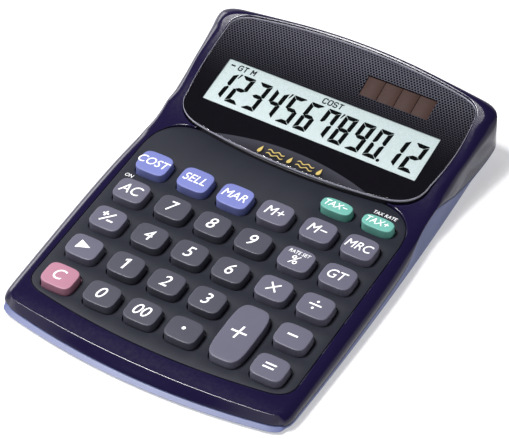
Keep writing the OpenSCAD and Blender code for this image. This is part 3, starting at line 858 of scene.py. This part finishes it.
SIGN_T = 0.66
SIGNS = {
    "+": [bar(-2.7, 0, 2.7, 0, SIGN_T), bar(0, SIGN_T / 2, 0, 2.7, SIGN_T),
          bar(0, -2.7, 0, -SIGN_T / 2, SIGN_T)],
    "-": [bar(-2.4, 0, 2.4, 0, 0.85)],
    "=": [bar(-2.6, 1.0, 2.6, 1.0, 0.8), bar(-2.6, -1.0, 2.6, -1.0, 0.8)],
    "x": [bar(-2.3, -2.3, 2.3, 2.3, 0.7), bar(-2.3, 2.3, -0.25, 0.25, 0.7), bar(0.25, -0.25, 2.3, -2.3, 0.7)],
    "div": [bar(-2.9, 0, 2.9, 0, 0.72), dot(0, 2.0, 0.6), dot(0, -2.0, 0.6)],
    "arrow": [[(-2.9, -2.5), (3.1, 0.0), (-2.9, 2.5)]],
    "sign": [bar(-2.2, -2.6, 2.0, 2.6, 0.75), bar(-3.3, 1.4, -0.7, 1.4, 0.75),
             bar(-2.0, 1.8, -2.0, 2.7, 0.75), bar(-2.0, 0.1, -2.0, 1.0, 0.75),
             bar(0.6, -1.6, 3.4, -1.6, 0.75)],
    ".": [dot(0, 0.2, 0.85)],
    "1": [[(-0.15, -3.15), (0.8, -3.15), (0.8, 3.15), (0.1, 3.15), (-1.4, 2.3), (-1.4, 1.3),
           (-0.15, 1.95)]],
}
# Letter height of each written legend.
LETTER = {"AC": 5.6, "COST": 4.5, "SELL": 4.5, "MAR": 4.6, "M+": 5.2, "M-": 5.2, "MRC": 4.6, "GT": 5.0,
          "%": 5.0, "C": 5.9, "00": 6.0, "TAX-": 3.4, "TAX+": 3.4}
SHEAR = 0.24
LEGEND_SHIFT = (-0.4, 0.4)


def lettering(name, text, size, middle, surface, body, matrix, squeeze=1.0):
    """Raised white lettering of the given letter height, centred on a point of a surface."""
    curve = bpy.data.curves.new(name, "FONT")
    curve.body = text
    curve.size = size / 0.73
    curve.shear = SHEAR
    curve.resolution_u = 6
    curve.extrude = INK_T / 2
    source = bpy.data.objects.new(name, curve)
    bpy.context.scene.collection.objects.link(source)
    bpy.context.view_layer.update()
    mesh = bpy.data.meshes.new_from_object(source.evaluated_get(bpy.context.evaluated_depsgraph_get()))
    bpy.data.objects.remove(source)
    co = np.array([v.co for v in mesh.vertices])
    centre = (co.min(0) + co.max(0)) / 2
    for vertex, c in zip(mesh.vertices, co):
        x = (c[0] - centre[0]) * squeeze + middle[0]
        y = c[1] - centre[1] + middle[1]
        vertex.co = (x, y, surface(x, y) + c[2] + INK_T / 2 - 0.01)
    bm = bmesh.new()
    bm.from_mesh(mesh)
    bmesh.ops.remove_doubles(bm, verts=bm.verts, dist=0.0002)
    bm.to_mesh(mesh)
    bm.free()
    mesh.transform(Matrix.Scale(MM, 4) @ matrix)
    return place(name, mesh, M["legend"], body)


def key_legend(key):
    text, name = key["legend"], f"{key['name']}_legend"
    dx, dv = LEGEND_SHIFT

    def surface(x, v):
        return crown(key, x, v)
    if text in SIGNS:
        scale = {"+": 1.35, "sign": 1.1}.get(text, 1.0)
        polygons = [[(x * scale + dx, y * scale + dv) for x, y in slanted(p, SHEAR * 0.7)]
                    for p in SIGNS[text]]
        return extruded(polygons, surface).object(name, M["legend"], "legend", body=key["name"],
                                                  matrix=on_key(key))
    middle = (dx, dv - 1.2) if text == "%" else (dx, dv)
    return lettering(name, text.replace("-", "−"), LETTER.get(text, 6.3), middle, surface, key["name"],
                     on_key(key), squeeze=0.95)


for key in KEYS:
    key_legend(key)


lettering("legend_on", "ON", 1.9, (-60.0, 23.8), flat, HOUSING, KEY_FRAME)
lettering("legend_tax_rate", "TAX RATE", 1.9, (51.2, 56.4), flat, HOUSING, KEY_FRAME, squeeze=0.95)
percent = next(k for k in KEYS if k["name"] == "key_percent")
lettering("legend_rate_set", "RATE SET", 1.95, (-0.1, 3.4), lambda x, v: crown(percent, x, v), "key_percent",
          on_key(percent), squeeze=0.9)


# ---------------------------------------------------------------- the display
def lens_top(x):
    """Rear edge of the lens-shaped swelling at the window's front."""
    return LENS_Y - LENS_SAG * (x / LENS_HALF) ** 2


def swelling(x, y):
    depth = lens_top(x) - window_front(x)
    if depth <= 0 or y >= lens_top(x):
        return 0.0
    s = clamp((lens_top(x) - y) / depth)
    return 0.105 * depth * smooth(0.5 * s) * 2 * clamp(0.6 + 0.4 * s)


def rear_roll(x, y):
    """The window's rear edge rolls down a little."""
    t = clamp((y - (window_rear(x) - 2.6)) / 2.6)
    return -0.55 * t ** 2


def window_top(x, y):
    return window_z(y) + swelling(x, y) + rear_roll(x, y)


PRINT_T = 0.25
CLEAR_T = WINDOW_T - PRINT_T


def display_window():
    outline = closed(resample(WINDOW_HALF, 1.0))
    lines = [np.array([(x, lens_top(x) - f * (lens_top(x) - window_front(x)))
                       for x in np.linspace(-39.5 + 6 * f, 39.5 - 6 * f, 60)])
             for f in (0, 0.12, 0.28, 0.5, 0.75)]
    clear = plate([inset(outline, 0.28)], window_top, lambda x, y: window_top(x, y) - CLEAR_T, 0.3, 0.3,
                  1.6, lines)
    clear.object("window_clear_plate", M["clear"], "clear_pane")
    # The print carries the two openings and shows through the clear plate.
    lcd_w, lcd_h = LCD_VIEW
    lcd_hole = rounded_box(-lcd_w / 2, LCD_Y - lcd_h / 2 * math.cos(LCD_TILT), lcd_w / 2,
                           LCD_Y + lcd_h / 2 * math.cos(LCD_TILT), 0.5)
    w, h = SOLAR_SIZE
    half_h = h / 2 * math.cos(SOLAR_TILT)
    solar_hole = rounded_box(SOLAR_X - w / 2, SOLAR_Y - half_h, SOLAR_X + w / 2, SOLAR_Y + half_h, 0.5)
    printed = plate([inset(outline, 0.3), lcd_hole, solar_hole],
                    lambda x, y: window_top(x, y) - CLEAR_T - 0.01,
                    lambda x, y: window_z(y) - WINDOW_T, 0.05, 0.05, 2.2, lines)
    # The print layer also carries the painted reflection on the lens-shaped zone.
    printed.object("window_black_print_painted_reflection", M["print"], "display_window", replaces=["display_window"])
    # A ring of bright material runs round the plate: a painted highlight in place of the light caught by the
    # window's edge bevel.
    s = Shape()
    profile = [(0.02, -CLEAR_T - 0.1), (0.0, -0.3), (0.02, -0.12), (0.07, -0.04), (0.14, -0.07),
               (0.16, -CLEAR_T - 0.1)]
    rings = [s.ring(inset(outline, d), lambda x, y, h=h: window_top(x, y) + h) for d, h in profile]
    s.skin(rings, around=True)
    s.object("window_edge", M["rim"], "clear_pane")


def display_bezel():
    s = Shape()
    outline = closed(resample(WINDOW_HALF, 1.0))

    def low(x, y):
        return max(keyboard_z(y) + 0.1, window_z(y) - 5.5)

    def top(x, y):
        return window_z(y) - WINDOW_T - 0.12
    rings = []
    for d, base, lift in ((2.6, low, 0.0), (0.5, low, 0.0), (0.32, low, 0.1), (0.3, low, 0.3),
                          (0.3, top, -0.9), (0.2, top, -0.75), (0.12, top, -0.5), (0.12, top, -0.2),
                          (0.3, top, 0.0), (2.6, top, 0.0)):
        rings.append(s.ring(inset(outline, d), lambda x, y, base=base, lift=lift: base(x, y) + lift))
    s.skin(rings, around=True)
    s.object("display_bezel_ring", M["bezel"], "display_bezel", replaces=["display_bezel"])


# Which of the seven segments each digit lights: top, upper right, lower right, bottom, lower left,
# upper left and middle.
SEGMENTS = {"0": "TRrBlL", "1": "Rr", "2": "TRMlB", "3": "TRMrB", "4": "LMRr", "5": "TLMrB", "6": "TLlBrM",
            "7": "LTRr", "8": "TRrBlLM", "9": "TLMRrB"}
DIGIT_W, DIGIT_H, STROKE = 6.6, 16.4, 2.1
DIGIT_V = -1.3
DIGIT_PITCH = 8.9
LAST_DIGIT_U = 48.1
LCD_SHEAR = 0.085


def segment_shapes():
    """Outline of each segment round the middle of a digit, with pointed ends."""
    w, h, t, gap = DIGIT_W / 2, DIGIT_H / 2, STROKE, 0.08
    shapes = {}
    for letter, v in (("T", h), ("B", -h)):
        s = 1 if v > 0 else -1
        shapes[letter] = [(-w + gap + 0.35, v), (w - gap - 0.35, v), (w - gap, v - s * 0.35),
                          (w - t - gap, v - s * t), (-w + t + gap, v - s * t), (-w + gap, v - s * 0.35)]
    for letter, side, end in (("R", 1, 1), ("r", 1, -1), ("L", -1, 1), ("l", -1, -1)):
        x = side * w
        shapes[letter] = [(x, end * (h - gap - 0.5)), (x, end * (gap + 0.35)),
                          (x - side * t * 0.45, end * gap), (x - side * t, end * (gap + t * 0.55)),
                          (x - side * t, end * (h - t - gap))]
    m = STROKE / 2
    shapes["M"] = [(-w + 0.75 + gap, 0), (-w + t + gap, m), (w - t - gap, m), (w - 0.75 - gap, 0),
                   (w - t - gap, -m), (-w + t + gap, -m)]
    return shapes


# The display's small capitals as strokes on a grid four wide and six high.
STROKES = {
    "C": [[(4, 5), (3, 6), (1, 6), (0, 5), (0, 1), (1, 0), (3, 0), (4, 1)]],
    "G": [[(4, 5), (3, 6), (1, 6), (0, 5), (0, 1), (1, 0), (3, 0), (4, 1), (4, 3), (2.4, 3)]],
    "M": [[(0, 0), (0, 6), (2, 2.6), (4, 6), (4, 0)]],
    "O": [[(1, 6), (3, 6), (4, 5), (4, 1), (3, 0), (1, 0), (0, 1), (0, 5), (1, 6)]],
    "S": [[(4, 5), (3, 6), (1, 6), (0, 5), (0, 4), (1, 3), (3, 3), (4, 2), (4, 1), (3, 0), (1, 0), (0, 1)]],
    "T": [[(0, 6), (4, 6)], [(2, 6), (2, 0)]],
}


def stroked(text, u, v, height):
    """A word in stroke letters, centred on a point."""
    unit = height / 6
    pitch = 5.9 * unit
    polygons = []
    for i, letter in enumerate(text):
        x0 = u + (i - (len(text) - 1) / 2) * pitch - 2 * unit
        for line in STROKES[letter]:
            points = [(x0 + x * unit + LCD_SHEAR * (y - 3) * unit, v + (y - 3) * unit) for x, y in line]
            for (xa, ya), (xb, yb) in zip(points, points[1:]):
                k = 0.15 / math.hypot(xb - xa, yb - ya)
                polygons.append(bar(xa - (xb - xa) * k, ya - (yb - ya) * k, xb + (xb - xa) * k,
                                    yb + (yb - ya) * k, 0.58))
    return polygons


def lcd_digits():
    shapes = segment_shapes()
    polygons = []
    for k, digit in enumerate("123456789012"):
        u = LAST_DIGIT_U - DIGIT_PITCH * (11 - k)
        for letter in SEGMENTS[digit]:
            polygons.append([(u + x + LCD_SHEAR * y, DIGIT_V + y) for x, y in shapes[letter]])
        if k in (0, 3, 6):
            tick = [(4.3, 5.3), (4.75, 5.3), (5.9, 8.2), (4.9, 8.2)]
            polygons.append([(u + x, DIGIT_V + y) for x, y in tick])
        if k == 9:
            polygons.append(dot(u + 3.9, DIGIT_V - DIGIT_H / 2 + 0.35, 0.85))
    polygons.append(bar(-52.1, 9.8, -49.9, 9.8, 0.8))
    words = [p for text, u in (("GT", -45.7), ("M", -40.3), ("COST", 1.2))
             for p in stroked(text, u, 9.75, 2.7)]
    for name, shapes in (("lcd_digits", polygons), ("lcd_signs", words)):
        extruded(shapes, flat, 0.03).object(name, M["ink"], "lcd_ink", matrix=LCD_FRAME)


def lcd_glass():
    w, h, t = LCD_GLASS
    s = plate([rounded_box(-w / 2, -h / 2, w / 2, h / 2, 0.4)], flat, -t, 0.12, 0.1)
    s.object("lcd_glass_cell", M["lcd"], "lcd_glass", replaces=["lcd_glass"], matrix=LCD_FRAME)


def solar_cell():
    w, h = SOLAR_SIZE
    backing = plate([rounded_box(-w / 2 - 1, -h / 2 - 1, w / 2 + 1, h / 2 + 1, 0.3)],
                    lambda x, y: -0.12, -1.0, 0.05, 0.05)
    backing.object("solar_cell_plate", M["ink"], "solar_cell", replaces=["solar_cell"], matrix=SOLAR_FRAME)
    s = Shape()
    cells, gap = 4, 0.28
    pitch = w / cells
    for k in range(cells):
        x0 = -w / 2 + k * pitch + gap / 2
        cell = plate([rounded_box(x0, -h / 2 + 0.25, x0 + pitch - gap, h / 2 - 0.25, 0.2)],
                     flat, -0.15, 0.04, 0.04)
        base = len(s.verts)
        s.verts += cell.verts
        s.faces += [tuple(i + base for i in f) for f in cell.faces]
    s.object("solar_cell_strips", M["solar"], "solar_cell", matrix=SOLAR_FRAME)


def gold_marks():
    """Generic water drops and waves on the swelling, in gold."""
    polygons = []
    turns = [2 * math.pi * i / 28 for i in range(28)]
    drop = slanted([(-1.35 * math.sin(a) * math.sin(a / 2) ** 1.6, 2.1 * math.cos(a)) for a in turns], 0.15)
    for x in (-15.0, 0.0, 15.0):
        polygons.append([(px + x, py + 31.9) for px, py in drop])
    for x in (-7.5, 7.5):
        for v in (30.8, 32.9):
            upper = [(x + u, v + 0.55 * math.sin(u * 1.5) + 0.27) for u in np.linspace(-4.2, 4.2, 30)]
            lower = [(x + u, v + 0.55 * math.sin(u * 1.5) - 0.27) for u in np.linspace(4.2, -4.2, 30)]
            polygons.append(lower[::-1] + upper[::-1])
    s = extruded(polygons, window_top, 0.03)
    s.object("gold_water_marks", M["gold"], "gold_print")


display_window()
display_bezel()
lcd_glass()
lcd_digits()
solar_cell()
gold_marks()


# ---------------------------------------------------------------- the underside
def rubber_feet():
    s = Shape()
    top = FOOT_DROP + 0.42
    profile = [(4.5, top), (4.5, 0.45), (4.42, 0.2), (4.2, 0.05), (3.9, 0.0), (2.6, 0.0), (2.2, 0.12)]
    for cx, cy in FEET:
        rings = [s.ring(circle(cx, cy, r), z) for r, z in profile]
        s.skin(rings)
        s.cap(rings[0], (cx, cy, top))
        s.cap(rings[-1], (cx, cy, 0.12))
    s.object("rubber_foot_pads", M["rubber"], "rubber_feet", replaces=["rubber_feet"])


def rating_label():
    x, y, w, d = LABEL
    low, top = FOOT_DROP + 0.05, FOOT_DROP + 0.2
    s = plate([rounded_box(x - w / 2, y - d / 2, x + w / 2, y + d / 2, 1.9)], lambda a, b: -low, -top,
              0.04, 0.04)
    s.verts = [(a, b, -c) for a, b, c in s.verts]
    s.object("rating_label_film", M["label"], "rating_label", replaces=["rating_label"])
    # A plain border and blank field lines, without any wording.
    bars = [bar(x - 26, y + v, x + 26, y + v, 0.5) for v in (-11, 11)]
    bars += [bar(x + u, y - 10.75, x + u, y + 10.75, 0.5) for u in (-25.75, 25.75)]
    bars += [bar(x - 22, y + v, x + 8, y + v, 0.7) for v in (-5, 0, 5)]
    lines = extruded(bars, lambda a, b: -low, 0.02)
    lines.verts = [(a, b, -c) for a, b, c in lines.verts]
    lines.object("rating_label_lines", M["label_ink"], "rating_label")


rubber_feet()
rating_label()


# ---------------------------------------------------------------- camera, light and floor
def camera():
    azimuth, elevation, roll = math.radians(33.193), math.radians(46.198), math.radians(-2.865)
    back = Vector((math.sin(azimuth) * math.cos(elevation), -math.cos(azimuth) * math.cos(elevation),
                   math.sin(elevation)))
    right = Vector((math.cos(azimuth), math.sin(azimuth), 0))
    up = back.cross(right)
    right2 = math.cos(roll) * right + math.sin(roll) * up
    up2 = -math.sin(roll) * right + math.cos(roll) * up
    where = 1100.06 * back + 0.348 * right2 + 4.543 * up2
    data = bpy.data.cameras.new("camera")
    data.sensor_width = 36
    data.lens = 178.08
    data.clip_start = 0.05
    obj = bpy.data.objects.new("camera", data)
    rotation = Matrix((right2, up2, back)).transposed().to_4x4()
    obj.matrix_world = Matrix.Translation(where * MM) @ rotation
    bpy.context.scene.collection.objects.link(obj)
    bpy.context.scene.camera = obj


def area_light(name, where, at, size, power):
    data = bpy.data.lights.new(name, "AREA")
    data.shape = "RECTANGLE"
    data.size, data.size_y = size
    data.energy = power
    obj = bpy.data.objects.new(name, data)
    direction = Vector(at) - Vector(where)
    obj.rotation_euler = direction.to_track_quat("-Z", "Y").to_euler()
    obj.location = where
    bpy.context.scene.collection.objects.link(obj)


def world():
    """A dark studio ceiling over a bright band near the horizon."""
    w = bpy.data.worlds.new("studio")
    w.use_nodes = True
    bpy.context.scene.world = w
    tree = w.node_tree
    coord = tree.nodes.new("ShaderNodeTexCoord")
    split = tree.nodes.new("ShaderNodeSeparateXYZ")
    ramp = tree.nodes.new("ShaderNodeValToRGB")
    ramp.color_ramp.elements[0].position = 0.0
    ramp.color_ramp.elements[0].color = (1, 1, 1, 1)
    ramp.color_ramp.elements[1].position = 0.6
    ramp.color_ramp.elements[1].color = (0.045, 0.045, 0.05, 1)
    middle = ramp.color_ramp.elements.new(0.4)
    middle.color = (0.7, 0.7, 0.7, 1)
    tree.links.new(coord.outputs["Generated"], split.inputs[0])
    tree.links.new(split.outputs["Z"], ramp.inputs["Fac"])
    tree.links.new(ramp.outputs["Color"], tree.nodes["Background"].inputs["Color"])
    tree.nodes["Background"].inputs["Strength"].default_value = 1.05


def floor():
    mesh = bpy.data.meshes.new("floor")
    r, n = 1.6, 96
    rim = [(r * math.cos(2 * math.pi * k / n), r * math.sin(2 * math.pi * k / n), -2e-5) for k in range(n)]
    mesh.from_pydata(rim, [], [tuple(range(n))])
    obj = bpy.data.objects.new("floor", mesh)
    # It glows a little, like a lit table, which keeps the shadow light.
    material = plastic("pale_floor", "CDCDCF", rough=0.8, tone=0.01, grain=0.0, specular=0.1)
    shader = material.node_tree.nodes["Principled BSDF"]
    shader.inputs["Emission Color"].default_value = (1, 1, 1, 1)
    shader.inputs["Emission Strength"].default_value = 0.42
    mesh.materials.append(material)
    bpy.context.scene.collection.objects.link(obj)


camera()
bpy.context.scene.view_settings.view_transform = "Standard"
world()
floor()
area_light("overhead", (-0.45, -0.3, 1.1), (0, 0, 0), (0.5, 0.6), 12.5)
area_light("streak", (-0.5, -0.05, 1.2), (0, 0, 0), (0.2, 0.3), 15)
area_light("left", (-1.1, 0.5, 0.45), (0, 0, 0.02), (0.5, 0.4), 3)
